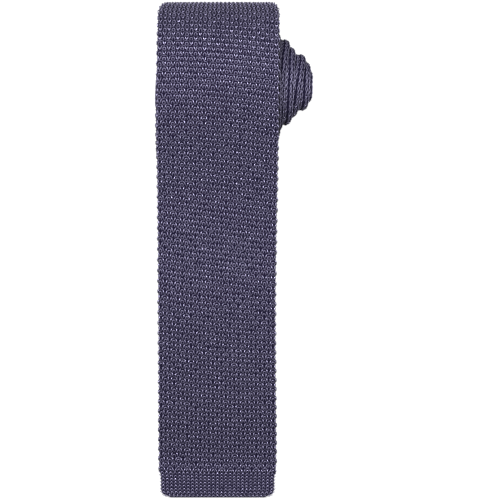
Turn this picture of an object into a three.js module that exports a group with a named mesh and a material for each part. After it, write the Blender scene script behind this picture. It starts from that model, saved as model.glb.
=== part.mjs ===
// A knit tie rolled up from its narrow end and laid down, with the wide blade drawn out over the roll.
// Sizes are millimetres and +Z is up. The tie lies on the plane z = 0. The roll's axis runs along X above
// the origin, and the blade runs down from the roll to its tip along -Y.
import * as THREE from "three";

// The knitted band laid flat: a tube pressed to two plies, measured along from the tip of the blade.
const TIE_LENGTH = 1480;
const BAND_THICKNESS = 2.7;
const BLADE_WIDTH = 60;
const NECK_WIDTH = 38;
const TAIL_WIDTH = 48;
const BLADE_LENGTH = 430;
const BLADE_TAPER = 130;
const TAIL_LENGTH = 190;
const TAIL_TAPER = 50;

// The plain-knit hem at each end, a little narrower than the band and with rounded corners.
const HEM_LENGTH = 12.5;
const HEM_DRAW_IN = 2;
const HEM_EASE = 7;
const CORNER_RADIUS = 4.5;

// The roll: its core, the slack between its turns at the sides and at top and bottom, how far the floor
// flattens it, how far past its crown the blade leaves it, and how far the core stands out sideways.
const CORE_HALF_DEPTH = 5.2;
const CORE_HALF_HEIGHT = 4;
const SIDE_SLACK = 0.9;
const TOP_SLACK = 0.4;
const FLOOR_SAG = 1;
const LEAVE_DEGREES = 23;
const CORE_STANDS_OUT = 17.6;

// The blade in front of the roll: how far its tip is from the roll's axis, how much of it lies flat, and
// how much narrower its own weight draws it halfway.
const TIP_DISTANCE = 205;
const TIP_FLAT = 14;
const DRAPE_DRAW_IN = 1.4;

// The solids of the band meet face to face with this gap between them.
const PIECE_GAP = 0.3;

// How finely the solids are faceted: sections a turn and down the blade, and points round the band's
// folded edge and the tip's corners.
const ROLL_STEPS = 32;
const DRAPE_STEPS = 30;
const EDGE_STEPS = 4;
const CORNER_STEPS = 5;

// The search for the number of turns, and the smallest differences that matter, in turns and millimetres.
const MOST_TURNS = 40;
const SEARCH_HALVINGS = 50;
const SMALL_TURN = 0.001;
const SAME_PLACE = 1e-6;

// How the blade comes down from the roll: the share of the way along, and of its height there.
const DRAPE = [
  { along: 0.0, height: 1.0 },
  { along: 0.115, height: 0.88 },
  { along: 0.228, height: 0.775 },
  { along: 0.341, height: 0.715 },
  { along: 0.454, height: 0.672 },
  { along: 0.552, height: 0.602 },
  { along: 0.651, height: 0.492 },
  { along: 0.749, height: 0.357 },
  { along: 0.848, height: 0.21 },
  { along: 0.918, height: 0.098 },
  { along: 0.962, height: 0.032 },
  { along: 1.0, height: 0.0 },
];

// How the turns stand out past the blade's right edge: the share of the rolled stretch from where the
// blade leaves the roll to the core, and the share of CORE_STANDS_OUT.
const TELESCOPE = [
  { along: 0.0, out: 0.03 },
  { along: 0.06, out: 0.06 },
  { along: 0.14, out: 0.0 },
  { along: 0.44, out: 0.03 },
  { along: 0.57, out: 0.08 },
  { along: 0.69, out: 0.14 },
  { along: 0.715, out: 0.22 },
  { along: 0.74, out: 0.38 },
  { along: 0.78, out: 0.39 },
  { along: 0.825, out: 0.52 },
  { along: 0.865, out: 0.56 },
  { along: 0.895, out: 0.81 },
  { along: 0.93, out: 0.87 },
  { along: 0.955, out: 0.95 },
  { along: 1.0, out: 1.0 },
];

const HALF_THICK = BAND_THICKNESS / 2;
const DEPTH_PITCH = BAND_THICKNESS + SIDE_SLACK;
const HEIGHT_PITCH = BAND_THICKNESS + TOP_SLACK;
const LEAVE_TURN = -LEAVE_DEGREES / 360;

// A smooth curve through a table's rows that never overshoots them. firstSlope sets its slope at the start.
function curveThrough(table, column, firstSlope = null) {
  const x = table.map((row) => row.along);
  const y = table.map((row) => row[column]);
  const last = x.length - 1;
  const secant = x.slice(0, last).map((_, i) => (y[i + 1] - y[i]) / (x[i + 1] - x[i]));
  const slope = x.map((_, i) => {
    if (i === 0) return firstSlope ?? secant[0];
    if (i === last) return 0;
    const before = secant[i - 1];
    const after = secant[i];
    return before * after <= 0 ? 0 : (2 * before * after) / (before + after);
  });
  return (at) => {
    const t = THREE.MathUtils.clamp(at, 0, 1);
    let i = 0;
    while (i < last - 1 && t > x[i + 1]) i += 1;
    const h = x[i + 1] - x[i];
    const u = (t - x[i]) / h;
    const v = 1 - u;
    const ends = y[i] * v * v * (1 + 2 * u) + y[i + 1] * u * u * (3 - 2 * u);
    return ends + h * (slope[i] * u * v * v - slope[i + 1] * u * u * v);
  };
}

// A point of the rolled band's middle line. turn counts turns inwards from the crown of the outermost
// one, and turns is how many there are from there to the core.
function rollPoint(turn, turns) {
  const fromCore = turns - turn;
  const depth = CORE_HALF_DEPTH + fromCore * DEPTH_PITCH;
  const height = CORE_HALF_HEIGHT + fromCore * HEIGHT_PITCH;
  const lowestHeight = CORE_HALF_HEIGHT + (turns - 0.5) * HEIGHT_PITCH;
  const axisHeight = HALF_THICK + lowestHeight - FLOOR_SAG;
  const angle = turn * 2 * Math.PI;
  const turnsBelow = Math.max(0, Math.round(turn - 0.5));
  const flattened = HALF_THICK + turnsBelow * HEIGHT_PITCH;
  return { y: depth * Math.sin(angle), z: Math.max(axisHeight + height * Math.cos(angle), flattened) };
}

// The blade's middle line from its tip up to the roll, without the point where it meets the roll.
function drapePoints(turns) {
  const start = rollPoint(LEAVE_TURN, turns);
  const next = rollPoint(LEAVE_TURN + SMALL_TURN, turns);
  const landing = TIP_FLAT - TIP_DISTANCE;
  const run = start.y - landing;
  const rise = start.z - HALF_THICK;
  const rollSlope = (next.z - start.z) / (next.y - start.y);
  const height = curveThrough(DRAPE, "height", (-rollSlope * run) / rise);
  const points = [{ y: -TIP_DISTANCE, z: HALF_THICK }];
  for (let i = DRAPE_STEPS; i > 0; i -= 1) {
    const along = i / DRAPE_STEPS;
    points.push({ y: start.y - along * run, z: HALF_THICK + height(along) * rise });
  }
  return points;
}

// The rolled band's middle line from where the blade leaves the roll to the end of the tail.
function rollPoints(turns) {
  const points = [rollPoint(LEAVE_TURN, turns)];
  const firstStep = Math.floor(LEAVE_TURN * ROLL_STEPS) + 1;
  const lastStep = Math.ceil(turns * ROLL_STEPS) - 1;
  for (let step = firstStep; step <= lastStep; step += 1) {
    points.push(rollPoint(step / ROLL_STEPS, turns));
  }
  points.push(rollPoint(turns, turns));
  return points;
}

function distance(a, b) {
  return Math.hypot(b.y - a.y, b.z - a.z);
}

function lengthOf(points) {
  return points.slice(1).reduce((sum, point, i) => sum + distance(points[i], point), 0);
}

// The number of turns that uses up the tie's length.
function turnsForLength() {
  let low = 1;
  let high = MOST_TURNS;
  for (let i = 0; i < SEARCH_HALVINGS; i += 1) {
    const turns = (low + high) / 2;
    const long = lengthOf([...drapePoints(turns), ...rollPoints(turns)]);
    if (long > TIE_LENGTH) high = turns;
    else low = turns;
  }
  return low;
}

// The whole middle line. Each point has its distance along the band, and a vector across it, out of the
// roll and up on the blade, long enough at a bend to keep the band's thickness.
const TURNS = turnsForLength();
const drape = drapePoints(TURNS);
const line = [...drape, ...rollPoints(TURNS)];
line.forEach((point, i) => {
  point.along = i === 0 ? 0 : line[i - 1].along + distance(line[i - 1], point);
});

function segmentNormal(i) {
  const a = line[i];
  const b = line[i + 1];
  const long = distance(a, b);
  return { y: -(b.z - a.z) / long, z: (b.y - a.y) / long };
}

line.forEach((point, i) => {
  const before = segmentNormal(Math.max(0, i - 1));
  const after = segmentNormal(Math.min(line.length - 2, i));
  const sum = { y: before.y + after.y, z: before.z + after.z };
  const scale = 2 / (sum.y * sum.y + sum.z * sum.z);
  point.normal = { y: sum.y * scale, z: sum.z * scale };
});

const BAND_END = line.at(-1).along;
const ROLL_START = line[drape.length].along;

// How much narrower an end of the band is, at a distance from that end: its hem and rounded corners.
function endDrawIn(fromEnd) {
  const hem = 1 - THREE.MathUtils.smoothstep(fromEnd, HEM_LENGTH - HEM_EASE / 2, HEM_LENGTH + HEM_EASE / 2);
  const inCorner = Math.max(0, CORNER_RADIUS - fromEnd);
  const corner = CORNER_RADIUS - Math.sqrt(CORNER_RADIUS ** 2 - inCorner ** 2);
  return hem * HEM_DRAW_IN + 2 * corner;
}

function bandWidth(along) {
  const toNeck = THREE.MathUtils.smoothstep(along, BLADE_LENGTH, BLADE_LENGTH + BLADE_TAPER);
  const tailStart = BAND_END - TAIL_LENGTH;
  const toTail = THREE.MathUtils.smoothstep(along, tailStart, tailStart + TAIL_TAPER);
  const onDrape = Math.sin(Math.PI * Math.min(1, along / ROLL_START)) ** 2;
  const neck = THREE.MathUtils.lerp(BLADE_WIDTH, NECK_WIDTH, toNeck);
  return THREE.MathUtils.lerp(neck, TAIL_WIDTH, toTail) - onDrape * DRAPE_DRAW_IN;
}

// Where the middle of the band's width is. The blade is centred, and the rolled band is placed by its
// right edge.
const standsOut = curveThrough(TELESCOPE, "out");

function bandCentre(along) {
  if (along < ROLL_START) {
    const onBlade = THREE.MathUtils.smoothstep(along, ROLL_START / 2, ROLL_START);
    return onBlade * standsOut(0) * CORE_STANDS_OUT;
  }
  const share = (along - ROLL_START) / (BAND_END - ROLL_START);
  const rightEdge = BLADE_WIDTH / 2 + standsOut(share) * CORE_STANDS_OUT;
  return rightEdge - bandWidth(along) / 2;
}

// The band's cross-section, as corners of a flattened tube: u across it, v through its thickness.
function sectionCorners(width) {
  const shoulder = width / 2 - HALF_THICK;
  const corners = [];
  [1, -1].forEach((side) => {
    for (let i = 0; i <= EDGE_STEPS; i += 1) {
      const angle = Math.PI * (i / EDGE_STEPS - 0.5);
      const v = side * HALF_THICK * Math.sin(angle);
      corners.push({ u: side * (shoulder + HALF_THICK * Math.cos(angle)), v });
    }
  });
  return corners;
}

// One section of the band as points in space, at a distance along it.
function sectionAt(along) {
  let i = 0;
  while (i < line.length - 2 && along > line[i + 1].along) i += 1;
  const a = line[i];
  const b = line[i + 1];
  const share = (along - a.along) / (b.along - a.along);
  const onPoint = [a, b].find((point) => Math.abs(point.along - along) < SAME_PLACE);
  const normal = onPoint ? onPoint.normal : segmentNormal(i);
  const y = THREE.MathUtils.lerp(a.y, b.y, share);
  const z = THREE.MathUtils.lerp(a.z, b.z, share);
  const fromEnd = Math.min(along, BAND_END - along);
  const centre = bandCentre(along);
  return sectionCorners(bandWidth(along) - endDrawIn(fromEnd)).map(
    ({ u, v }) => new THREE.Vector3(centre + u, y + v * normal.y, z + v * normal.z),
  );
}

// Distances along the band that get a section between two ends: the middle line's own points and the
// steps of the rounded corners, apart from those that lie almost on another one.
function stations(from, to) {
  const corners = [];
  for (let i = 1; i <= CORNER_STEPS; i += 1) {
    const fromEnd = CORNER_RADIUS * (1 - Math.cos((i / CORNER_STEPS) * (Math.PI / 2)));
    corners.push(fromEnd, BAND_END - fromEnd);
  }
  const inside = [...line.map((point) => point.along), ...corners]
    .filter((along) => along > from + PIECE_GAP && along < to - PIECE_GAP)
    .sort((a, b) => a - b);
  const spaced = inside.filter((along, i) => i === 0 || along - inside[i - 1] > PIECE_GAP);
  return [from, ...spaced, to];
}

// A closed solid of the band between two distances along it.
function bandSolid(from, to) {
  const sections = stations(from, to).map(sectionAt);
  const corners = sections[0].length;
  const faces = [];
  for (let s = 0; s + 1 < sections.length; s += 1) {
    for (let c = 0; c < corners; c += 1) {
      const a = s * corners + c;
      const b = s * corners + ((c + 1) % corners);
      faces.push(a, b + corners, b, a, a + corners, b + corners);
    }
  }
  const end = (sections.length - 1) * corners;
  for (let c = 1; c + 1 < corners; c += 1) {
    faces.push(0, c, c + 1, end, end + c + 1, end + c);
  }
  const geometry = new THREE.BufferGeometry().setFromPoints(sections.flat());
  geometry.setIndex(faces);
  geometry.computeVertexNormals();
  return geometry;
}

const tuckKnit = new THREE.MeshStandardMaterial({ color: 0x504d63, roughness: 0.75, metalness: 0 });
const plainKnit = new THREE.MeshStandardMaterial({ color: 0x4d4a62, roughness: 0.7, metalness: 0 });

// The named stretches of the band, each from the end of the one before.
const neckStart = BLADE_LENGTH + BLADE_TAPER;
const tailStart = BAND_END - TAIL_LENGTH;
const stretches = [
  { name: "blade_hem", from: 0, to: HEM_LENGTH, material: plainKnit },
  { name: "blade", from: HEM_LENGTH, to: neckStart, material: tuckKnit },
  { name: "neck_band", from: neckStart, to: tailStart, material: tuckKnit },
  { name: "tail", from: tailStart, to: BAND_END - HEM_LENGTH, material: tuckKnit },
  { name: "tail_hem", from: BAND_END - HEM_LENGTH, to: BAND_END, material: plainKnit },
];

const tie = new THREE.Group();
stretches.forEach(({ name, from, to, material }) => {
  const start = from === 0 ? from : from + PIECE_GAP / 2;
  const end = to === BAND_END ? to : to - PIECE_GAP / 2;
  const mesh = new THREE.Mesh(bandSolid(start, end), material);
  mesh.name = name;
  tie.add(mesh);
});

export default tie;
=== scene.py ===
"""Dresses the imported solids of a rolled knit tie: the knitted ground of each stretch of the band, and every
stitch that shows on it, knitted flat in (across, along, out) and then laid on the band as it is rolled."""

import math

import bpy
import numpy as np
from bpy.props import FloatProperty, FloatVectorProperty, IntProperty, PointerProperty
from bpy.types import Operator, Panel, PropertyGroup
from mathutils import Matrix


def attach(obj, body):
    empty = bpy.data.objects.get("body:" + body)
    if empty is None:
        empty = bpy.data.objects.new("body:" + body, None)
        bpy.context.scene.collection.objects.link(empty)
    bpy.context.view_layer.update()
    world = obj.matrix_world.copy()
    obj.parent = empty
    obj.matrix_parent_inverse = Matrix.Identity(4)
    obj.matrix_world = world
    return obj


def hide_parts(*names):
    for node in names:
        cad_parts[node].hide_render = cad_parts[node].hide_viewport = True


bl_info = {
    "name": "Rolled Knit Tie",
    "version": (1, 0, 0),
    "blender": (4, 5, 0),
    "location": "View3D > Sidebar > Knit Tie",
    "description": "Knits a rolled tie, stitch by stitch, around its packed solids",
    "category": "Object",
}

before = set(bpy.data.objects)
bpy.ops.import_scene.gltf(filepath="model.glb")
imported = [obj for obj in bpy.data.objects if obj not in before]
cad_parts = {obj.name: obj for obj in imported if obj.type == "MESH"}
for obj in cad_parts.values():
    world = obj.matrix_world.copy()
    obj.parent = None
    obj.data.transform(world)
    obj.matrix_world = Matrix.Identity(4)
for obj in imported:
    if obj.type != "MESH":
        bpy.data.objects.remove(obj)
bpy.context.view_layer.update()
MM = 0.001


def length(name, millimetres, description):
    """A size in metres whose default is given in millimetres."""
    return FloatProperty(
        name=name, description=description, default=millimetres * MM, min=0, unit="LENGTH", precision=5
    )


class TieBandSizes(PropertyGroup):
    """The band laid flat, measured along from the blade's tip. These are the sizes of the solids."""

    tie_length: length("Tie length", 1480, "The whole tie, tip to tip")
    thickness: length("Thickness", 2.7, "Two plies of knit, over the stitches")
    blade_width: length("Blade width", 60, "Across the wide blade")
    neck_width: length("Neck width", 38, "Across the narrow stretch that goes round the neck")
    tail_width: length("Tail width", 48, "Across the tail")
    blade_length: length("Blade length", 430, "How far the blade keeps its full width")
    blade_taper: length("Blade taper", 130, "How far it takes to narrow to the neck band")
    tail_length: length("Tail length", 190, "The tail with its taper")
    tail_taper: length("Tail taper", 50, "How far the neck band takes to widen to the tail")
    hem_length: length("Hem length", 12.5, "The plain-knit band at each end")
    hem_draw_in: length("Hem draw-in", 2, "How much narrower the hem is")
    hem_ease: length("Hem ease", 7, "How far the hem's narrowing takes")
    corner_radius: length("Corner radius", 4.5, "The rounded corners of both ends")
    drape_draw_in: length("Drape draw-in", 1.4, "How much narrower its weight draws the blade")


class TieRollSizes(PropertyGroup):
    """How the band is rolled and how the blade lies in front of the roll."""

    core_half_depth: length("Core half depth", 5.2, "The roll's core, along Y")
    core_half_height: length("Core half height", 4, "The roll's core, along Z")
    side_slack: length("Side slack", 0.9, "Between turns at the roll's sides")
    top_slack: length("Top slack", 0.4, "Between turns at the roll's top and bottom")
    floor_sag: length("Floor sag", 1, "How far the floor flattens the roll")
    floor_ease: length("Floor ease", 0.25, "How softly the turns bend into their flat stretch")
    leave_degrees: FloatProperty(
        name="Leave degrees", description="How far past the crown the blade leaves the roll", default=23
    )
    bend_draw_in: length("Bend draw-in", 3.2, "How far the outer turn's folds draw in where it bends down")
    bend_reach: length("Bend reach", 7, "How much of the outer turn's depth that takes")
    inner_draw_in: length("Inner draw-in", 1.7, "How far the inner turns' folds draw in where they bend")
    inner_reach: length("Inner reach", 3.5, "How much of an inner turn's depth that takes")
    core_stands_out: length("Core stands out", 17.6, "How far the core stands out past the blade's edge")
    tip_distance: length("Tip distance", 205, "From the roll's axis to the blade's tip")
    tip_flat: length("Tip flat", 14, "How much of the tip lies flat")


class TieStitchSizes(PropertyGroup):
    """The stitches, before they are laid on the band."""

    wales_across: IntProperty(
        name="Wales across", description="Wales from fold to fold of the blade", default=28
    )
    pair_length: length("Pair length", 5.3, "Along a wale, from one tuck loop to the next")
    hem_row: length("Hem row", 1.5625, "Along a wale of the plain-knit hem, from row to row")
    yarn_radius: length("Yarn radius", 0.21, "Half the thickness of the yarn where it shows")
    ground_depth: length("Ground depth", 0.75, "From the tops of the stitches down to the ground")
    unevenness: FloatProperty(
        name="Unevenness", description="How much the stitches differ from each other", default=0.8, min=0, max=3
    )
    seed: IntProperty(name="Seed", description="Starts the chance by which the stitches differ", default=11)


class TieColours(PropertyGroup):
    """The colours of the yarn, as linear values."""

    yarn: FloatVectorProperty(
        name="Yarn", description="The yarn's own colour", subtype="COLOR", size=3,
        default=(0.006, 0.0053, 0.0125),
    )
    # Painted shade: this dark colour is laid on the yarn where it lies deep, and also on its darker lengths.
    yarn_shade_and_dark: FloatVectorProperty(
        name="Dark yarn", description="The yarn where it lies deep or is darker", subtype="COLOR", size=3,
        default=(0.0024, 0.0021, 0.0052),
    )
    # Painted shade: the ground is the same yarn, coloured darker than it to stand for the shade deep between
    # the stitches.
    ground: FloatVectorProperty(
        name="Ground", description="The ground between the stitches", subtype="COLOR", size=3,
        default=(0.0016, 0.0012, 0.0045),
    )


class TieStudio(PropertyGroup):
    """The floor, the light and the camera."""

    floor: FloatVectorProperty(
        name="Floor", description="The pale floor's colour", subtype="COLOR", size=3, default=(0.02, 0.02, 0.02)
    )
    floor_glow: FloatProperty(name="Floor glow", description="How much the pale floor lights up", default=1.0)
    ambient: FloatProperty(name="Ambient", description="Light from all round", default=0.7)
    key_power: FloatProperty(name="Key power", description="The key light's watts", default=385)
    key_size: length("Key size", 600, "The key light's side")
    key_distance: length("Key distance", 2100, "From the tie to the key light")
    key_lean: FloatProperty(
        name="Key lean", description="How far the key light stands from straight above, behind the roll",
        default=math.radians(16), subtype="ANGLE",
    )
    key_aside: FloatProperty(
        name="Key aside", description="How far the key light stands to the left of straight above",
        default=math.radians(4), subtype="ANGLE",
    )
    fill_power: FloatProperty(name="Fill power", description="The fill light's watts", default=40)
    fill_size: length("Fill size", 1400, "The fill light's side")
    fill_lean: FloatProperty(
        name="Fill lean", description="How far the fill light stands from straight above, in front of the tie",
        default=math.radians(30), subtype="ANGLE",
    )
    camera_height: length("Camera height", 1750, "From the floor to the camera")
    camera_lens: FloatProperty(name="Camera lens", description="Focal length in millimetres", default=252)


# How the blade comes down from the roll: the share of the way from the roll to its flat tip, and the share
# of its height that is left there.
DRAPE = (
    ("along", "height"),
    (0.0, 1.0),
    (0.115, 0.88),
    (0.228, 0.775),
    (0.341, 0.715),
    (0.454, 0.672),
    (0.552, 0.602),
    (0.651, 0.492),
    (0.749, 0.357),
    (0.848, 0.21),
    (0.918, 0.098),
    (0.962, 0.032),
    (1.0, 0.0),
)

# How the turns stand out past the blade's right edge: the share of the rolled stretch, and of how far
# the core stands out.
TELESCOPE = (
    ("along", "out"),
    (0.0, 0.03),
    (0.06, 0.06),
    (0.14, 0.0),
    (0.44, 0.03),
    (0.57, 0.08),
    (0.69, 0.14),
    (0.715, 0.22),
    (0.74, 0.38),
    (0.78, 0.39),
    (0.825, 0.52),
    (0.865, 0.56),
    (0.895, 0.81),
    (0.93, 0.87),
    (0.955, 0.95),
    (1.0, 1.0),
)

# How the courses run across the blade: at millimetres from the tip, their drop to the right as a slope, and
# how much steeper it is at the right edge than in the middle.
COURSES = (
    ("from_tip", "drop", "bow"),
    (0, 0.0, 0.0),
    (14, 0.02, -0.03),
    (60, 0.07, -0.075),
    (110, 0.115, -0.06),
    (150, 0.12, 0.0),
    (190, 0.09, 0.09),
    (260, 0.05, 0.08),
    (420, 0.05, 0.0),
)

# One pair of stitches as the yarn's middle lines: the plain stitch, a V whose yarn goes on low over the tops
# of its neighbours' tuck loops, and the tuck loop that shows as a ring above it. across and along are
# millimetres from the middle of the wale, out is the share of the way from where the yarn is half sunk in
# the ground to the stitches' tops, and girth is its thickness against the yarn's own. The legs of the V
# dive under towards their tips and the ring rises, so that each shines on another slope of the blade.
PLAIN_STITCH = (
    ("across", "along", "out", "girth"),
    (-2.3, 2.25, -0.02, 1.05),
    (-1.7, 2.17, -0.12, 1.05),
    (-1.14, 2.08, 0.0, 1.0),
    (-0.87, 1.77, 0.62, 1.35),
    (-0.73, 1.25, 1.1, 1.35),
    (-0.49, 0.6, 0.9, 1.2),
    (0.0, -0.12, 0.38, 1.0),
    (0.49, 0.6, 0.9, 1.2),
    (0.73, 1.25, 1.1, 1.35),
    (0.87, 1.77, 0.62, 1.35),
    (1.14, 2.08, 0.0, 1.0),
    (1.7, 2.17, -0.12, 1.05),
    (2.3, 2.25, -0.02, 1.05),
)
TUCK_LOOP = (
    ("across", "along", "out", "girth"),
    (0.0, 2.25, -0.12, 1.05),
    (0.53, 2.48, -0.05, 1.02),
    (0.71, 3.05, 0.15, 0.97),
    (0.53, 3.63, 0.3, 0.9),
    (0.0, 3.88, 0.36, 0.87),
    (-0.53, 3.63, 0.3, 0.9),
    (-0.71, 3.05, 0.15, 0.97),
    (-0.53, 2.48, -0.05, 1.02),
)

# Along the folds of the inner turns the stitches are drawn out into cords: two lengths of yarn that cross
# at every pair, and a deeper, thinner one beside them.
FOLD_CORD = (
    ("across", "along", "out", "girth"),
    (-0.45, 0.0, 0.2, 0.8),
    (-0.3, 0.88, 0.4, 0.9),
    (0.0, 1.77, 0.55, 1.0),
    (0.3, 2.65, 0.4, 0.9),
    (0.45, 3.53, 0.2, 0.8),
    (0.1, 4.42, 0.0, 0.7),
    (-0.45, 5.3, 0.2, 0.8),
)
FOLD_CORD_BACK = (
    ("across", "along", "out", "girth"),
    (0.5, 0.0, 0.3, 0.9),
    (0.5, 0.88, 0.15, 0.8),
    (0.2, 1.77, -0.1, 0.7),
    (-0.35, 2.65, 0.15, 0.8),
    (-0.5, 3.53, 0.3, 0.9),
    (-0.1, 4.42, 0.55, 1.0),
    (0.5, 5.3, 0.3, 0.9),
)
FOLD_THREAD = (
    ("across", "along", "out", "girth"),
    (-0.98, -0.3, -0.4, 0.7),
    (-0.9, 1.2, -0.2, 0.8),
    (-0.98, 2.7, -0.1, 0.8),
    (-1.08, 4.1, -0.2, 0.8),
    (-0.98, 5.6, -0.4, 0.7),
)

# The straight chain along the upper edge of the fold of the blade's own inner turn.
FOLD_CHAIN = (
    ("across", "along", "out", "girth"),
    (-0.75, 0.0, 0.8, 1.2),
    (-0.83, 1.3, 1.0, 1.3),
    (-0.75, 2.65, 0.8, 1.2),
    (-0.83, 3.95, 1.0, 1.3),
    (-0.75, 5.3, 0.8, 1.2),
)

# One stitch of the plain-knit hem.
HEM_STITCH = (
    ("across", "along", "out", "girth"),
    (-0.72, -0.25, -0.1, 0.8),
    (-0.66, 0.35, 0.3, 1.0),
    (-0.4, 0.88, 0.7, 1.1),
    (0.0, 1.1, 0.9, 1.1),
    (0.4, 0.88, 0.7, 1.1),
    (0.66, 0.35, 0.3, 1.0),
    (0.72, -0.25, -0.1, 0.8),
)


def column(table, name):
    """One named column of a table, as an array."""
    return np.array([row[table[0].index(name)] for row in table[1:]], float)


def curve_through(table, name, first_slope=None):
    """A smooth curve through a table's rows that never overshoots them."""
    x, y = column(table, "along"), column(table, name)
    secant = np.diff(y) / np.diff(x)
    before, after = secant[:-1], secant[1:]
    bend = before * after
    inner = np.where(bend > 0, 2 * bend / np.where(bend > 0, before + after, 1), 0)
    slope = np.concatenate([[secant[0] if first_slope is None else first_slope], inner, [0]])

    def at(along):
        t = np.clip(along, 0, 1)
        i = np.clip(np.searchsorted(x, t, side="right") - 1, 0, len(x) - 2)
        h = x[i + 1] - x[i]
        u = (t - x[i]) / h
        v = 1 - u
        ends = y[i] * v * v * (1 + 2 * u) + y[i + 1] * u * u * (3 - 2 * u)
        return ends + h * (slope[i] * u * v * v - slope[i + 1] * u * u * v)

    return at


def smoothstep(x, low, high):
    """Rises softly from 0 at low to 1 at high."""
    t = np.clip((x - low) / (high - low), 0, 1)
    return t * t * (3 - 2 * t)


class Band:
    """The band as it lies: its middle line, its widths, and where a point of the flat knit comes to lie."""

    STEPS_A_TURN = 400
    DRAPE_STEPS = 400
    FLAT_STEPS = 20
    SEARCH_HALVINGS = 40
    MOST_TURNS = 40.0
    TURN_NUDGE = 0.001
    INNER_FROM, INNER_TO = 0.5, 0.75
    THINNEST_END = 0.01
    MIDDLE_OVERLAP = 0.3 * MM

    def __init__(self, context):
        self.cut = context.scene.tie_band_sizes
        self.roll = context.scene.tie_roll_sizes
        self.knit = context.scene.tie_stitch_sizes
        self.half_thick = self.cut.thickness / 2
        self.ground = self.half_thick - self.knit.ground_depth
        self.fold_radius = (self.half_thick + self.ground) / 2
        self.fold_arc = self.fold_radius * np.pi / 2
        self.turns = self.turns_for_length()
        self.y, self.z, self.roll_turn = self.middle_line(self.turns)
        step = np.hypot(np.diff(self.y), np.diff(self.z))
        self.along = np.concatenate([[0], np.cumsum(step)])
        self.end = self.along[-1]
        self.roll_along = self.along[-len(self.roll_turn) :]
        self.roll_start = self.roll_along[0]
        tangent_y, tangent_z = np.gradient(self.y, self.along), np.gradient(self.z, self.along)
        size = np.hypot(tangent_y, tangent_z)
        self.normal_y, self.normal_z = -tangent_z / size, tangent_y / size
        self.stands_out = curve_through(TELESCOPE, "out")

    def roll_point(self, turn, turns):
        """A point of the rolled band's middle line, turn turns inwards from the outer crown."""
        roll, pitch = self.roll, self.cut.thickness
        from_core = turns - turn
        depth = roll.core_half_depth + from_core * (pitch + roll.side_slack)
        height_pitch = pitch + roll.top_slack
        height = roll.core_half_height + from_core * height_pitch
        lowest = roll.core_half_height + (turns - 0.5) * height_pitch
        axis = self.half_thick + lowest - roll.floor_sag
        below = np.maximum(0, np.round(turn - 0.5))
        flattened = self.half_thick + below * height_pitch
        angle = turn * 2 * np.pi
        free = axis + height * np.cos(angle)
        ease = roll.floor_ease
        return depth * np.sin(angle), np.logaddexp(free / ease, flattened / ease) * ease

    def middle_line(self, turns):
        """The middle line from the blade's tip to the tail's, and the turn of each of its rolled points."""
        leave = -self.roll.leave_degrees / 360
        first = np.array([leave, leave + self.TURN_NUDGE])
        (start_y, next_y), (start_z, next_z) = self.roll_point(first, turns)
        run = start_y + self.roll.tip_distance - self.roll.tip_flat
        rise = start_z - self.half_thick
        slope = (next_z - start_z) / (next_y - start_y)
        height = curve_through(DRAPE, "height", -slope * run / rise)
        share = np.linspace(1, 0, self.DRAPE_STEPS, endpoint=False)
        flat_y = np.linspace(-self.roll.tip_distance, start_y - run, self.FLAT_STEPS, endpoint=False)
        flat_z = np.full(self.FLAT_STEPS, self.half_thick)
        drape_y = np.concatenate([flat_y, start_y - share * run])
        drape_z = np.concatenate([flat_z, self.half_thick + height(share) * rise])
        turn = np.linspace(leave, turns, int((turns - leave) * self.STEPS_A_TURN))
        roll_y, roll_z = self.roll_point(turn, turns)
        return np.concatenate([drape_y, roll_y]), np.concatenate([drape_z, roll_z]), turn

    def turns_for_length(self):
        """The number of turns that uses up the tie's length."""
        low, high = 1.0, self.MOST_TURNS
        for _ in range(self.SEARCH_HALVINGS):
            turns = (low + high) / 2
            y, z, _ = self.middle_line(turns)
            if np.hypot(np.diff(y), np.diff(z)).sum() > self.cut.tie_length:
                high = turns
            else:
                low = turns
        return low

    def ends_in(self, along):
        """How much narrower the band is near its ends, for its hems and rounded corners."""
        cut = self.cut
        from_end = np.minimum(along, self.end - along)
        ease = cut.hem_ease / 2
        hem = 1 - smoothstep(from_end, cut.hem_length - ease, cut.hem_length + ease)
        in_corner = np.clip(cut.corner_radius - from_end, 0, cut.corner_radius)
        corner = cut.corner_radius - np.sqrt(cut.corner_radius**2 - in_corner**2)
        return hem * cut.hem_draw_in + 2 * corner

    def bend_in(self, along):
        """How much narrower the band is where a turn bends down at its front and its back, seen from above
        as the rounded corners of the roll. The solids keep these corners square."""
        roll = self.roll
        turn = np.interp(along, self.roll_along, self.roll_turn)
        inner = smoothstep(turn, self.INNER_FROM, self.INNER_TO)
        depth = roll.core_half_depth + (self.turns - turn) * (self.cut.thickness + roll.side_slack)
        reach = roll.bend_reach + (roll.inner_reach - roll.bend_reach) * inner
        draw_in = roll.bend_draw_in + (roll.inner_draw_in - roll.bend_draw_in) * inner
        share = np.clip(1 - (1 - np.abs(np.sin(2 * np.pi * turn))) * depth / reach, 0, 1)
        return np.where(turn > 0, 2 * draw_in * (1 - np.sqrt(1 - share**2)), 0)

    def drape_in(self, along):
        """How much narrower the hanging blade is drawn by its weight."""
        return np.sin(np.pi * np.clip(along / self.roll_start, 0, 1)) ** 2 * self.cut.drape_draw_in

    def body_width(self, along):
        """The band's width without what its ends draw in."""
        cut = self.cut
        to_neck = smoothstep(along, cut.blade_length, cut.blade_length + cut.blade_taper)
        tail_start = self.end - cut.tail_length
        to_tail = smoothstep(along, tail_start, tail_start + cut.tail_taper)
        neck = cut.blade_width + (cut.neck_width - cut.blade_width) * to_neck
        return neck + (cut.tail_width - neck) * to_tail - self.drape_in(along)

    def centre(self, along):
        """Where the middle of the band's width lies along X."""
        out = self.roll.core_stands_out
        start = smoothstep(along, self.roll_start / 2, self.roll_start) * self.stands_out(0.0) * out
        share = (along - self.roll_start) / (self.end - self.roll_start)
        edge = self.cut.blade_width / 2 + self.stands_out(share) * out
        return np.where(along < self.roll_start, start, edge - self.body_width(along) / 2)

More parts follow.
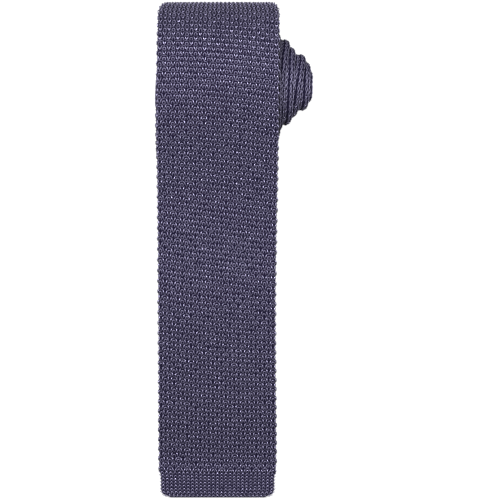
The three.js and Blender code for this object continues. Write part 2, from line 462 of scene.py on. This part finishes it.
    def wale(self, along):
        """The distance from one wale to the next. It follows the blade's width, and keeps its size where
        the band narrows, because the wales there end behind the turns."""
        width = self.cut.blade_width - self.drape_in(along) - self.ends_in(along) - self.bend_in(along)
        return (width - self.cut.thickness + 2 * self.fold_arc) / self.knit.wales_across

    def place(self, side, from_fold, along, out):
        """Lays points on the band. side is 1 at its right fold and -1 at its left one, from_fold is the way
        round from the fold's middle, positive on the outer face, and out is how far from the middle line."""
        width = self.body_width(along) - self.ends_in(along) - self.bend_in(along)
        flat = width / 2 - self.half_thick
        from_end = np.clip(np.minimum(along, self.end - along), 0, self.half_thick)
        out = out * np.sqrt(np.clip(1 - (1 - from_end / self.half_thick) ** 2, self.THINNEST_END, 1))
        past = np.abs(from_fold) - self.fold_arc
        angle = np.clip(from_fold / self.fold_radius, -np.pi / 2, np.pi / 2)
        across = np.where(past > 0, flat - past, flat + out * np.cos(angle))
        lift = out * np.sin(angle)
        y, z = np.interp(along, self.along, self.y), np.interp(along, self.along, self.z)
        normal_y = np.interp(along, self.along, self.normal_y)
        normal_z = np.interp(along, self.along, self.normal_z)
        size = np.hypot(normal_y, normal_z)
        x = self.centre(along) + side * across
        return np.stack([x, y + lift * normal_y / size, z + lift * normal_z / size], axis=-1)

    def course_shift(self, across, along):
        """How far along the band a course has moved at a distance across it from its middle."""
        from_tip = column(COURSES, "from_tip") * MM
        drop = np.interp(along, from_tip, column(COURSES, "drop"))
        bow = np.interp(along, from_tip, column(COURSES, "bow"))
        half = self.cut.blade_width / 2
        return -(drop * across + bow * across**2 / (2 * half))

    def on_face(self, side, wale, along):
        """Which stitches of a wale lie on their own half of the face, with a little more on the right half."""
        half_round = (self.body_width(along) - self.cut.thickness) / 2 + self.fold_arc
        return abs(wale) * self.wale(along) < half_round + side * self.MIDDLE_OVERLAP

    def along_at(self, turn):
        """How far along the band a turn of the roll is."""
        return np.interp(turn, self.roll_turn, self.roll_along)

    def uncovered(self, side, wale, along, margin):
        """Which stitches the neighbouring turn leaves bare, or covers by no more than a margin."""
        x = self.place(side, wale * self.wale(along), along, self.half_thick)[..., 0]
        turn = np.interp(along, self.roll_along, self.roll_turn)
        neighbour = turn + np.where(wale > 0, -1, 1)
        alone = (neighbour < self.roll_turn[0]) | (neighbour > self.turns)
        bare = (along < self.roll_start) | alone | (wale == 0)
        cover = self.along_at(neighbour)
        half, centre = self.body_width(cover) / 2, self.centre(cover)
        return bare | (x > centre + half - margin) | (x < centre - half + margin)


class Strand:
    """One length of yarn in the flat knit, as a low mesh round its middle line: points across, along and
    out, faces, and for each face corner its place along and round the yarn. every thins the middle line."""

    SUNK = 0.6

    def __init__(self, table, band, sides, closed=False, every=1):
        path = np.stack([column(table, name) for name in ("across", "along", "out")], axis=1)[::every]
        # The height of each point, which later paints shade on the yarn where it lies deep.
        self.share = np.repeat(path[:, 2], sides)
        path[:, :2] *= MM
        radius = band.knit.yarn_radius
        low, high = band.ground - radius * self.SUNK, band.half_thick - radius
        path[:, 2] = low + path[:, 2] * (high - low)
        count = len(path)
        ahead, behind = np.roll(path, -1, axis=0), np.roll(path, 1, axis=0)
        if not closed:
            ahead[-1], behind[0] = path[-1], path[0]
        tangent = ahead - behind
        tangent /= np.linalg.norm(tangent, axis=1, keepdims=True)
        sideways = np.cross(tangent, [0, 0, 1.0])
        sideways /= np.linalg.norm(sideways, axis=1, keepdims=True)
        upwards = np.cross(sideways, tangent)
        girth = column(table, "girth")[::every] * radius
        angle = 2 * np.pi * (np.arange(sides) + 0.5) / sides
        cosine, sine = np.cos(angle)[None, :, None], np.sin(angle)[None, :, None]
        ring = cosine * sideways[:, None] + sine * upwards[:, None]
        self.points = (path[:, None] + ring * girth[:, None, None]).reshape(-1, 3)
        spans = count if closed else count - 1
        i, j = np.meshgrid(np.arange(spans), np.arange(sides), indexing="ij")
        i, j = i.ravel(), j.ravel()
        corners = [(i, j), (i + 1, j), (i + 1, j + 1), (i, j + 1)]
        self.quads = np.stack([(a % count) * sides + b % sides for a, b in corners], axis=1)
        self.quad_uv = np.stack([np.stack([a / spans, b / sides], axis=-1) for a, b in corners], axis=1)
        first = np.arange(sides)
        last = (count - 1) * sides + first[::-1]
        self.caps = np.empty((0, sides), int) if closed else np.stack([first, last])
        self.count = len(self.points)


def new_mesh(name, points, faces, uv=None, tone_and_shade=None):
    """A smooth mesh object at the origin. faces is a list of arrays of vertex numbers, one row a face, and
    uv a list of the same length with a place for each corner."""
    mesh = bpy.data.meshes.new(name)
    mesh.vertices.add(len(points))
    mesh.vertices.foreach_set("co", points.astype(np.float32).ravel())
    corners = np.concatenate([part.ravel() for part in faces])
    totals = np.concatenate([np.full(len(part), part.shape[1]) for part in faces])
    mesh.loops.add(len(corners))
    mesh.loops.foreach_set("vertex_index", corners.astype(np.int32))
    mesh.polygons.add(len(totals))
    mesh.polygons.foreach_set("loop_start", (np.cumsum(totals) - totals).astype(np.int32))
    mesh.polygons.foreach_set("use_smooth", np.ones(len(totals), bool))
    if uv is not None:
        places = np.concatenate([part.reshape(-1, 2) for part in uv])
        layer = mesh.uv_layers.new(name="yarn")
        layer.uv.foreach_set("vector", places.astype(np.float32).ravel())
    if tone_and_shade is not None:
        mesh.attributes.new("tone_and_shade", "FLOAT", "POINT").data.foreach_set("value", tone_and_shade.astype(np.float32))
    mesh.update()
    mesh.validate()
    piece = bpy.data.objects.new(name, mesh)
    bpy.context.scene.collection.objects.link(piece)
    return piece


# How much the stitches differ from each other at an unevenness of 1: shares of their width, their length and
# their way along, and distances across, along and out.
WIDER, SHORTER, LEAN = 0.04, 0.02, 0.025
SHIFT, SLIP, LIFT = 0.02 * MM, 0.05 * MM, 0.03 * MM

# How much of a stitch's tone is chance, and how much is painted shade that darkens and roughens the yarn where
# it lies deep.
TONE_CHANCE, SHADE_AND_GLOSS_BY_HEIGHT = 0.3, 0.7

# The share of a row that rounding may be out by, and how far inside the tip the hem's first row starts.
ROUND_OFF = 0.01
HEM_START = 0.25 * MM

# How far under a neighbouring turn the stitches still go on.
COVER_MARGIN = 2.5 * MM


def knit(name, band, plans, seed):
    """One piece of stitches. plans is a list of (strand, side, wale, start): a strand, and for each of its
    copies the fold that it counts from, its wale from there, and how far along the band it starts."""
    chance = np.random.default_rng(seed)
    uneven = band.knit.unevenness
    points, quads, caps, quad_uv, cap_uv, tones_and_shade = [], [], [], [], [], []
    used = 0
    for strand, side, wale, start in plans:
        copies = len(wale)
        across, along, out = (strand.points[:, axis][None, :] for axis in range(3))
        lean, stretch, shift, slip, lift = (chance.normal(0, 1, (copies, 1)) * uneven for _ in range(5))
        across = across * (1 + WIDER * stretch) + along * LEAN * lean + SHIFT * shift
        along = start[:, None] + along * (1 - SHORTER * stretch) + SLIP * slip
        out = out + LIFT * lift
        side = side[:, None]
        pitch = band.wale(along)
        from_fold = wale[:, None] * pitch - across * side
        half = pitch * band.knit.wales_across / 2
        from_middle = side * (half - np.abs(from_fold))
        along = np.clip(along + band.course_shift(from_middle, along), 0, band.end)
        points.append(band.place(side, from_fold, along, out).reshape(-1, 3))
        base = used + np.arange(copies)[:, None, None] * strand.count
        quads.append((strand.quads[None] + base).reshape(-1, 4))
        caps.append((strand.caps[None] + base).reshape(-1, strand.caps.shape[1]))
        offset = chance.uniform(0, 1, (copies, 1, 1, 2))
        quad_uv.append((strand.quad_uv[None] + offset).reshape(-1, 2))
        cap_uv.append(np.zeros((caps[-1].size, 2)))
        # Painted shade: the yarn's height in the knit goes into its tone, so yarn lying deep is coloured
        # darker.
        tones_and_shade.append((TONE_CHANCE * chance.uniform(0, 1, (copies, 1)) + SHADE_AND_GLOSS_BY_HEIGHT * strand.share).ravel())
        used += copies * strand.count
    faces = [np.concatenate(quads)] + [part for part in caps if len(part)]
    uv = [np.concatenate(quad_uv)] + [part for part in cap_uv if len(part)]
    return new_mesh(name, np.concatenate(points), faces, uv, np.concatenate(tones_and_shade))


def gathered(found):
    """Joins many (side, wale, starts) into three arrays with one place for each stitch."""
    sides, wales, starts = zip(*found)
    counts = [len(start) for start in starts]
    sides, wales = (np.repeat(np.array(values, float), counts) for values in (sides, wales))
    return sides, wales, np.concatenate(starts)


def field(band, wales, low, high, close):
    """The plans for the tuck loops and plain stitches of some wales, counted from both folds, over a stretch
    of the band. Each wale's stitches are half a step on from its neighbour's. close gives the yarn five
    sides, and every point of its middle line instead of every second one."""
    pair, hem = band.knit.pair_length, band.cut.hem_length
    first, last = (np.ceil((limit - hem) / pair - ROUND_OFF) for limit in (low, high))
    rows = np.arange(first, last)
    found = []
    for side in (1, -1):
        for wale in wales:
            start = hem + (rows + (wale % 2) / 2) * pair
            start = start[start + pair < band.end - hem]
            shown = band.on_face(side, wale, start)
            shown &= band.uncovered(side, np.full(len(start), wale), start + pair / 2, COVER_MARGIN)
            found.append((side, wale, start[shown]))
    where = gathered(found)
    sides, every = (5, 1) if close else (4, 2)
    stitch = Strand(PLAIN_STITCH, band, sides, every=every)
    return [(stitch, *where), (Strand(TUCK_LOOP, band, sides, closed=True), *where)]


def corded(band, plans, wales):
    """Splits the plans of a turn in two: its outermost wales become cords along the fold, and the rest keep
    their stitches."""
    (_, side, wale, start), *_ = plans
    at_fold = np.abs(wale) < wales
    kept = [(strand, side[~at_fold], wale[~at_fold], start[~at_fold]) for strand, *_ in plans]
    where = side[at_fold], wale[at_fold], start[at_fold]
    return kept + [(Strand(table, band, 5), *where) for table in (FOLD_CORD, FOLD_CORD_BACK, FOLD_THREAD)]


def hem_field(band, wales, from_tail):
    """The plans for the plain-knit hem at the blade's tip, or at the tail's."""
    row, pair = band.knit.hem_row, band.knit.pair_length
    rows = round(band.cut.hem_length / row)
    found = []
    for side in (1, -1):
        for wale in wales:
            more = (wale % 2) * round(pair / 2 / row)
            start = np.arange(rows + more) * row + HEM_START
            if from_tail:
                start = band.end - start - row
            found.append((side, wale, start[band.on_face(side, wale, start)]))
    return [(Strand(HEM_STITCH, band, 5), *gathered(found))]


def finish_piece(piece, material):
    """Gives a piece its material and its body."""
    piece.data.materials.append(material)
    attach(piece, "root")
    return piece


def principled(name):
    """A new material with its nodes, its links and its shader."""
    material = bpy.data.materials.new(name)
    material.use_nodes = True
    tree = material.node_tree
    return material, tree.nodes, tree.links, tree.nodes["Principled BSDF"]


def set_inputs(node, **values):
    """Sets a node's inputs, each named with a low line for every space."""
    for name, value in values.items():
        node.inputs[name.replace("_", " ")].default_value = value
    return node


def blended(nodes, links, factor, dark, light):
    """A mix of two colours by a factor."""
    mix = nodes.new("ShaderNodeMix")
    mix.data_type = "RGBA"
    set_inputs(mix, A=(*dark, 1), B=(*light, 1))
    links.new(factor, mix.inputs["Factor"])
    return mix.outputs["Result"]


def bumped(nodes, links, height, strength, distance):
    """A normal bumped by a height."""
    bump = set_inputs(nodes.new("ShaderNodeBump"), Strength=strength, Distance=distance)
    links.new(height, bump.inputs["Height"])
    return bump.outputs["Normal"]


def yarn_material(colours):
    """Fine two-ply yarn: glossy where it stands out and rubbed, matt where it lies deep, with darker and
    lighter lengths at random, painted shade that darkens it where it lies deep, and the twist of its plies."""
    if "slate_yarn" in bpy.data.materials:
        return bpy.data.materials["slate_yarn"]
    material, nodes, links, shader = principled("slate_yarn")
    set_inputs(shader, Specular_IOR_Level=1.0, Specular_Tint=(0.73, 0.68, 1, 1))
    set_inputs(shader, Sheen_Weight=0.01, Sheen_Roughness=0.4, Sheen_Tint=(0.75, 0.73, 0.95, 1))
    place = nodes.new("ShaderNodeTexCoord")
    tone_and_shade = nodes.new("ShaderNodeAttribute")
    tone_and_shade.attribute_name = "tone_and_shade"
    patches = set_inputs(nodes.new("ShaderNodeTexNoise"), Scale=45, Detail=3)
    links.new(place.outputs["Object"], patches.inputs["Vector"])
    patch_share = nodes.new("ShaderNodeMath")
    patch_share.operation = "MULTIPLY"
    patch_share.inputs[1].default_value = 0.45
    links.new(patches.outputs["Fac"], patch_share.inputs[0])
    shaded_lightness = nodes.new("ShaderNodeMath")
    shaded_lightness.operation = "MULTIPLY_ADD"
    shaded_lightness.inputs[1].default_value = 0.55
    links.new(tone_and_shade.outputs["Fac"], shaded_lightness.inputs[0])
    links.new(patch_share.outputs[0], shaded_lightness.inputs[2])
    # Painted shade: the colour mixes towards the dark yarn where the yarn lies deep, as well as in random
    # darker lengths and patches.
    colour = blended(nodes, links, shaded_lightness.outputs[0], colours.yarn_shade_and_dark, colours.yarn)
    links.new(colour, shader.inputs["Base Color"])
    rubbed = set_inputs(nodes.new("ShaderNodeMapRange"), From_Min=0.1, From_Max=0.85, To_Min=0.85, To_Max=0.31)
    links.new(tone_and_shade.outputs["Fac"], rubbed.inputs["Value"])
    links.new(rubbed.outputs["Result"], shader.inputs["Roughness"])
    turned = set_inputs(nodes.new("ShaderNodeMapping"), Rotation=(0, 0, 0.6))
    links.new(place.outputs["UV"], turned.inputs["Vector"])
    twist = set_inputs(nodes.new("ShaderNodeTexWave"), Scale=5, Distortion=1.5)
    links.new(turned.outputs["Vector"], twist.inputs["Vector"])
    links.new(bumped(nodes, links, twist.outputs["Fac"], 0.3, 0.05 * MM), shader.inputs["Normal"])
    return material


def ground_material(colours):
    """The yarn's own crossings deep between the stitches, in their shade, which is painted into their
    near-black colour.
    """
    if "ground_yarn" in bpy.data.materials:
        return bpy.data.materials["ground_yarn"]
    material, nodes, links, shader = principled("ground_yarn")
    set_inputs(shader, Roughness=0.9, Specular_IOR_Level=0.02)
    place = nodes.new("ShaderNodeTexCoord")
    crossings = set_inputs(nodes.new("ShaderNodeTexNoise"), Scale=900, Detail=2)
    links.new(place.outputs["Object"], crossings.inputs["Vector"])
    dark = [part * 0.6 for part in colours.ground]
    colour = blended(nodes, links, crossings.outputs["Fac"], dark, colours.ground)
    links.new(colour, shader.inputs["Base Color"])
    links.new(bumped(nodes, links, crossings.outputs["Fac"], 0.8, 0.2 * MM), shader.inputs["Normal"])
    return material


def stretches(band):
    """Each stretch of the band: its solid's name, where it starts and ends, and its slot."""
    cut = band.cut
    neck = cut.blade_length + cut.blade_taper
    tail = band.end - cut.tail_length
    return {
        "blade_hem": (0.0, cut.hem_length, "plain_knit"),
        "blade": (cut.hem_length, neck, "tuck_knit"),
        "neck_band": (neck, tail, "tuck_knit"),
        "tail": (tail, band.end - cut.hem_length, "tuck_knit"),
        "tail_hem": (band.end - cut.hem_length, band.end, "plain_knit"),
    }


class TIE_OT_ground(Operator):
    """Make the knitted ground of each stretch of the band"""

    bl_idname = "tie.ground"
    bl_label = "Knitted Ground"

    STEP = 1.6 * MM
    FEWEST_RINGS = 8
    FLAT_POINTS = 8
    FOLD_POINTS = 5
    SHUT_FROM_EDGE = 4 * MM

    def section(self, band, along):
        """The points round the band at each distance along it."""
        flat = (band.body_width(along) - band.ends_in(along) - band.bend_in(along)) / 2 - band.half_thick
        round_fold = np.linspace(-1, 1, self.FOLD_POINTS)
        over_face = np.linspace(0, 1, self.FLAT_POINTS + 2)[1:-1]
        sides, from_fold = [], []
        for side in (1, -1):
            turn = side * round_fold[None, :] * band.fold_arc * np.ones((len(along), 1))
            near = side * (band.fold_arc + over_face[None, :] * flat[:, None])
            far = side * (band.fold_arc + (1 - over_face[None, :]) * flat[:, None])
            sides += [np.full_like(turn, side), np.full_like(near, side), np.full_like(far, -side)]
            from_fold += [turn, near, far]
        sides, from_fold = np.concatenate(sides, axis=1), np.concatenate(from_fold, axis=1)
        along = along[:, None] * np.ones_like(sides)
        return band.place(sides, from_fold, along, band.ground + self.swell(band, sides, from_fold, along))

    def swell(self, band, sides, from_fold, along):
        """How far the two plies swell where the neighbouring turns cover them, which shuts the roll's slack."""
        inside = band.uncovered(sides, from_fold / band.wale(along), along, self.SHUT_FROM_EDGE)
        angle = 2 * np.pi * np.interp(along, band.roll_along, band.roll_turn)
        slack = band.roll.side_slack * np.sin(angle) ** 2 + band.roll.top_slack * np.cos(angle) ** 2
        return np.where(inside | (np.abs(from_fold) < band.fold_arc * 2), 0, band.knit.ground_depth + slack / 2)

    def execute(self, context):
        band = Band(context)
        material = ground_material(context.scene.tie_colours)
        for node, (low, high, slot) in stretches(band).items():
            along = np.linspace(low, high, max(self.FEWEST_RINGS, int((high - low) / self.STEP)))
            points = self.section(band, along)
            rows, around = points.shape[:2]
            i, j = np.meshgrid(np.arange(rows - 1), np.arange(around), indexing="ij")
            i, j, after = i.ravel(), j.ravel(), (j.ravel() + 1) % around
            here, ahead = i * around, (i + 1) * around
            quads = np.stack([here + j, ahead + j, ahead + after, here + after], 1)
            first = np.arange(around)[None]
            last = (rows - 1) * around + np.arange(around)[None, ::-1]
            piece = new_mesh(f"{node}_ground", points.reshape(-1, 3), [quads, first, last])
            finish_piece(piece, material)
            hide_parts(node)
        return {"FINISHED"}


class StitchMaker:
    """What the operators that knit stitches share."""

    def knit_piece(self, context, band, name, plans, slot="tuck_knit"):
        """Knits one piece from its plans and finishes it."""
        material = yarn_material(context.scene.tie_colours)
        return finish_piece(knit(name, band, plans, band.knit.seed), material)


class TIE_OT_face_stitches(StitchMaker, Operator):
    """Knit the stitches of the blade's face, down its front and round the outer turn"""

    bl_idname = "tie.face_stitches"
    bl_label = "Face Stitches"

    CROWN_END = 0.2

    def execute(self, context):
        band = Band(context)
        hem, meet = band.cut.hem_length, band.roll_start
        middle = (hem + meet) / 2
        back, covered = band.along_at(self.CROWN_END), band.along_at(1 + band.roll_turn[0])
        wales = range(band.knit.wales_across // 2 + 1)
        for name, low, high, close in (
            ("blade_front_lower", hem, middle, True),
            ("blade_front_upper", middle, meet, True),
            ("crown", meet, back, True),
            ("outer_turn", back, covered, False),
        ):
            self.knit_piece(context, band, f"{name}_stitches", field(band, wales, low, high, close))
        return {"FINISHED"}


class TIE_OT_inner_stitches(StitchMaker, Operator):
    """Knit the stitches of the blade's underside and of the inner faces that the roll leaves bare"""

    bl_idname = "tie.inner_stitches"
    bl_label = "Inner Stitches"

    def execute(self, context):
        band = Band(context)
        hem, meet, neck = band.cut.hem_length, band.roll_start, stretches(band)["neck_band"][0]
        wales = range(-1, -band.knit.wales_across // 2 - 1, -1)
        self.knit_piece(context, band, "blade_underside_stitches", field(band, wales, hem, meet, False))
        self.knit_piece(context, band, "blade_inner_stitches", field(band, wales, meet, neck, False))
        return {"FINISHED"}


class TIE_OT_turn_stitches(StitchMaker, Operator):
    """Knit the stitches of the folds and faces of the inner turns, as far as the roll leaves them bare"""

    bl_idname = "tie.turn_stitches"
    bl_label = "Turn Stitches"

    CORDED_WALES = 3

    def execute(self, context):
        band = Band(context)
        covered = band.along_at(1 + band.roll_turn[0])
        reach = stretches(band)
        half = band.knit.wales_across // 2
        outer, inner = range(half + 1), range(-1, -half, -1)
        neck, tail = reach["neck_band"][:2], reach["tail"][:2]
        for name, (low, high) in (("blade_turn", (covered, neck[0])), ("neck_band", neck), ("tail", tail)):
            plans = corded(band, field(band, outer, low, high, True), self.CORDED_WALES)
            if name == "blade_turn":
                _, side, wale, start = plans[-1]
                plans.append((Strand(FOLD_CHAIN, band, 5), *(part[wale == 0] for part in (side, wale, start))))
            else:
                plans += corded(band, field(band, inner, low, high, False), self.CORDED_WALES)
            self.knit_piece(context, band, f"{name}_stitches", plans)
        return {"FINISHED"}


class TIE_OT_hem_stitches(StitchMaker, Operator):
    """Knit the plain-knit hems at the blade's tip and at the tail's"""

    bl_idname = "tie.hem_stitches"
    bl_label = "Hem Stitches"

    def execute(self, context):
        band = Band(context)
        half = band.knit.wales_across // 2
        wales = range(-half, half + 1)
        self.knit_piece(context, band, "blade_hem_stitches", hem_field(band, wales, False), "plain_knit")
        self.knit_piece(context, band, "tail_hem_stitches", hem_field(band, wales, True), "plain_knit")
        return {"FINISHED"}


class TIE_OT_sheets(Operator):
    """Work out how the band lies, and nothing more"""

    bl_idname = "tie.sheets"
    bl_label = "Flat Sizes"

    SAMPLES = 400

    def execute(self, context):
        band = Band(context)
        return {"FINISHED"}


class TIE_OT_stage(Operator):
    """Set up the pale floor, the soft studio light and the camera straight above"""

    bl_idname = "tie.stage"
    bl_label = "Studio"

    FLOOR_SIZE = 20
    FLOOR_BELOW = 0.0002
    SENSOR_WIDTH = 36
    CAMERA_X, CAMERA_Y = 0.0162, -0.0813
    LIT_Y, LIT_Z = -0.08, 0.03

    def execute(self, context):
        scene, studio = context.scene, context.scene.tie_studio
        bpy.ops.object.select_all(action="DESELECT")
        bpy.ops.mesh.primitive_plane_add(size=self.FLOOR_SIZE, location=(0, 0, -self.FLOOR_BELOW))
        floor = context.active_object
        floor.name = "pale_floor"
        material, *_, shader = principled("pale_floor")
        set_inputs(shader, Base_Color=(*studio.floor, 1), Roughness=0.9, Specular_IOR_Level=0.1)
        set_inputs(shader, Emission_Color=(1, 1, 1, 1), Emission_Strength=studio.floor_glow)
        floor.data.materials.append(material)
        over = (self.CAMERA_X, self.CAMERA_Y, studio.camera_height)
        bpy.ops.object.camera_add(location=over, rotation=(0, 0, 0))
        camera = context.active_object
        camera.data.lens = studio.camera_lens
        camera.data.sensor_width = self.SENSOR_WIDTH
        scene.camera = camera
        for name, lean, aside, size, power in (
            ("key", studio.key_lean, studio.key_aside, studio.key_size, studio.key_power),
            ("fill", -studio.fill_lean, 0, studio.fill_size, studio.fill_power),
        ):
            reach = studio.key_distance
            y, z = self.LIT_Y + reach * math.sin(lean), self.LIT_Z + reach * math.cos(lean)
            place = (-reach * math.sin(aside), y, z)
            bpy.ops.object.light_add(type="AREA", location=place, rotation=(-lean, -aside, 0))
            light = context.active_object
            light.name = f"{name}_light"
            light.data.size = size
            light.data.energy = power
        world = bpy.data.worlds.new("studio")
        scene.world = world
        world.use_nodes = True
        set_inputs(world.node_tree.nodes["Background"], Color=(1, 1, 1, 1), Strength=studio.ambient)
        scene.view_settings.view_transform = "Standard"
        return {"FINISHED"}


GROUPS = {
    "tie_band_sizes": TieBandSizes,
    "tie_roll_sizes": TieRollSizes,
    "tie_stitch_sizes": TieStitchSizes,
    "tie_colours": TieColours,
    "tie_studio": TieStudio,
}
OPERATORS = (
    TIE_OT_stage,
    TIE_OT_ground,
    TIE_OT_face_stitches,
    TIE_OT_inner_stitches,
    TIE_OT_turn_stitches,
    TIE_OT_hem_stitches,
    TIE_OT_sheets,
)


class TIE_PT_maker(Panel):
    """Lists the tie's sizes and colours, and what makes its pieces"""

    bl_label = "Knit Tie"
    bl_space_type = "VIEW_3D"
    bl_region_type = "UI"
    bl_category = "Knit Tie"

    def draw(self, context):
        for name, group in GROUPS.items():
            box = self.layout.box()
            for size in group.__annotations__:
                box.prop(getattr(context.scene, name), size)
        for operator in OPERATORS:
            self.layout.operator(operator.bl_idname)


def register():
    for cls in (*GROUPS.values(), *OPERATORS, TIE_PT_maker):
        bpy.utils.register_class(cls)
    for name, group in GROUPS.items():
        setattr(bpy.types.Scene, name, PointerProperty(type=group))


def unregister():
    for name in GROUPS:
        delattr(bpy.types.Scene, name)
    for cls in (TIE_PT_maker, *OPERATORS[::-1], *GROUPS.values()):
        bpy.utils.unregister_class(cls)


def main():
    register()
    bpy.ops.tie.stage()
    bpy.ops.tie.ground()
    bpy.ops.tie.face_stitches()
    bpy.ops.tie.inner_stitches()
    bpy.ops.tie.turn_stitches()
    bpy.ops.tie.hem_stitches()
    bpy.ops.tie.sheets()


if __name__ == "__main__":
    main()
